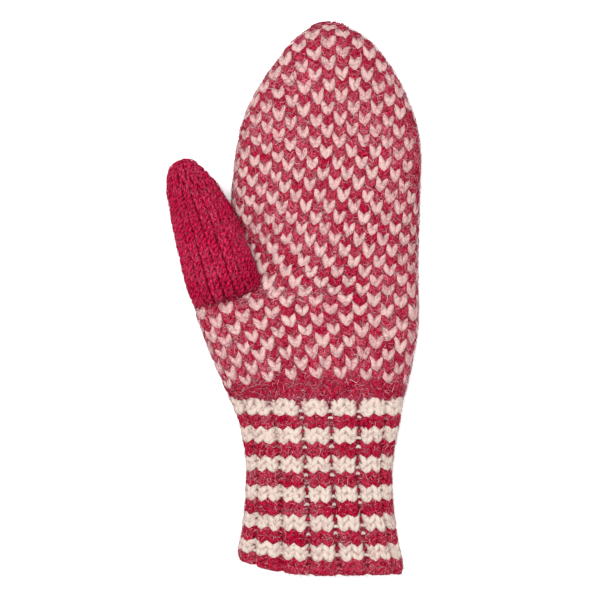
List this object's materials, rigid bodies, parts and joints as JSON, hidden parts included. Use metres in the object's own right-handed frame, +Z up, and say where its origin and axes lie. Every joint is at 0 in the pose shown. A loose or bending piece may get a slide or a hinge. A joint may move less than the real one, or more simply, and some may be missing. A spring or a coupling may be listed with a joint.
{
  "type": "wool mitten",
  "caption": "Hand-knitted felted wool mitten with a two-colour birdseye hand, plain tube thumb and striped ribbed cuff, lying flat, hollow and open at the wrist.",
  "frame": {"origin": "on the resting plane, under the middle of the mitten's outline", "axes": "+Y from the cuff to the finger tip, +Z up out of the palm side, the thumb on the -X side"},
  "size_m": [0.1265, 0.277, 0.0321],
  "materials": {
    "hand_wool": "knitted, felted, matt",
    "red_wool": "knitted, felted, matt",
    "cream_wool": "knitted, felted, matt"
  },
  "bodies": {
    "root": {"hand": "hand_wool", "thumb": "red_wool", "cuff": "cream_wool"}
  },
  "joints": []
}
